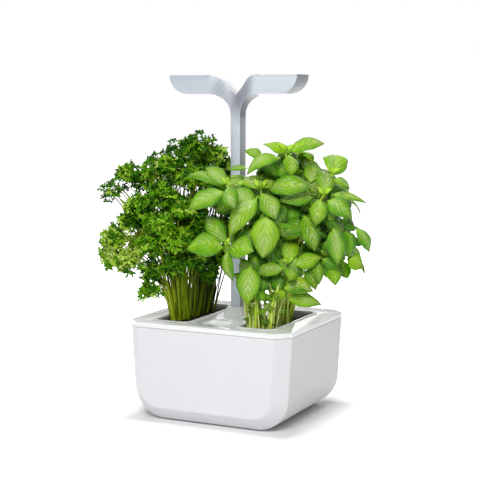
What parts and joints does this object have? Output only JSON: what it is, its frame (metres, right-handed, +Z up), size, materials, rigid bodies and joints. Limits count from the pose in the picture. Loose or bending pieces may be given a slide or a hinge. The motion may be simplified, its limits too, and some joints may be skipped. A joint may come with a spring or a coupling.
{
  "type": "countertop hydroponic garden",
  "caption": "Self-watering indoor herb garden: a rounded tank with a lift-off planting deck, two herb cartridges and a twin-leaf grow lamp on a sliding mast.",
  "frame": {"origin": "on the worktop, under the middle of the tank", "axes": "+Z up along the mast, +X to the right seen from the front, -Y towards the front"},
  "size_m": [0.2999, 0.1848, 0.389],
  "materials": {
    "white_casing": "satin",
    "white_deck": "gloss",
    "inner_plastic": "satin",
    "grey_plastic": "satin",
    "black_plastic": "matte",
    "grey_rubber": "matte",
    "steel": "satin",
    "contact_brass": "polished",
    "lead_skin": "matte",
    "float_red": "satin",
    "mast_metal": "satin",
    "lamp_metal": "satin",
    "sink_metal": "satin",
    "light_panel": "satin",
    "light_board": "satin",
    "light_source": "gloss",
    "green_board": "satin",
    "growing_medium": "matte",
    "wick_felt": "matte",
    "parsley_stem": "satin",
    "parsley_leaf": "satin",
    "basil_stem": "satin",
    "basil_leaf": "satin"
  },
  "bodies": {
    "tank": {"outer_casing": "white_casing", "water_tank": "inner_plastic", "rubber_feet": "grey_rubber"},
    "deck": {"top_cover": "white_deck", "left_well": "white_deck", "right_well": "white_deck", "mast_collar": "white_deck", "mast_socket": "inner_plastic", "collar_screws": "steel", "friction_pad": "grey_rubber", "dc_inlet": "black_plastic", "inlet_pin": "contact_brass", "inlet_lead": "lead_skin", "coiled_lead": "lead_skin", "float_guide": "inner_plastic", "flap_pin": "steel"},
    "flap": {"fill_flap": "white_deck"},
    "float": {"level_float": "float_red"},
    "left_cartridge": {"left_tray": "grey_plastic", "left_soil": "growing_medium", "left_wick": "wick_felt", "parsley_stems": "parsley_stem", "parsley_leaves": "parsley_leaf"},
    "right_cartridge": {"right_tray": "grey_plastic", "right_soil": "growing_medium", "right_wick": "wick_felt", "basil_stems": "basil_stem", "basil_leaves": "basil_leaf"},
    "lamp": {"mast_tube": "mast_metal", "mast_foot": "black_plastic", "mast_coupler": "lamp_metal", "set_screws": "steel", "lamp_housing": "lamp_metal", "left_lid": "lamp_metal", "right_lid": "lamp_metal", "left_diffuser": "light_panel", "right_diffuser": "light_panel", "left_led_board": "light_board", "right_led_board": "light_board", "left_leds": "light_source", "right_leds": "light_source", "left_heat_sink": "sink_metal", "right_heat_sink": "sink_metal", "board_screws": "steel", "driver_board": "green_board", "control_board": "green_board", "button_switch": "black_plastic", "mast_cable": "lead_skin", "lamp_leads": "lead_skin"},
    "button": {"power_button": "grey_plastic"}
  },
  "joints": [
    {"name": "cover_lift", "type": "slide", "parent": "tank", "child": "deck", "axis": [0, 0, 1], "range_m": [0, 0.11]},
    {"name": "lamp_height", "type": "slide", "parent": "deck", "child": "lamp", "axis": [0, 0, 1], "range_m": [-0.02, 0.04], "deforming": ["coiled_lead"]},
    {"name": "left_cartridge_lift", "type": "slide", "parent": "deck", "child": "left_cartridge", "axis": [0, 0, 1], "range_m": [0, 0.04]},
    {"name": "right_cartridge_lift", "type": "slide", "parent": "deck", "child": "right_cartridge", "axis": [0, 0, 1], "range_m": [0, 0.04]},
    {"name": "level_float_slide", "type": "slide", "parent": "deck", "child": "float", "axis": [0, 0, 1], "range_m": [0, 0.038]},
    {"name": "power_button_press", "type": "slide", "parent": "lamp", "child": "button", "axis": [0, 0, 1], "range_m": [0, 0.001], "stiffness_N_per_m": 400},
    {"name": "fill_flap_hinge", "type": "hinge", "parent": "deck", "child": "flap", "pos_m": [0, -0.043, 0.109], "axis": [-1, 0, 0], "range_deg": [0, 80]}
  ]
}
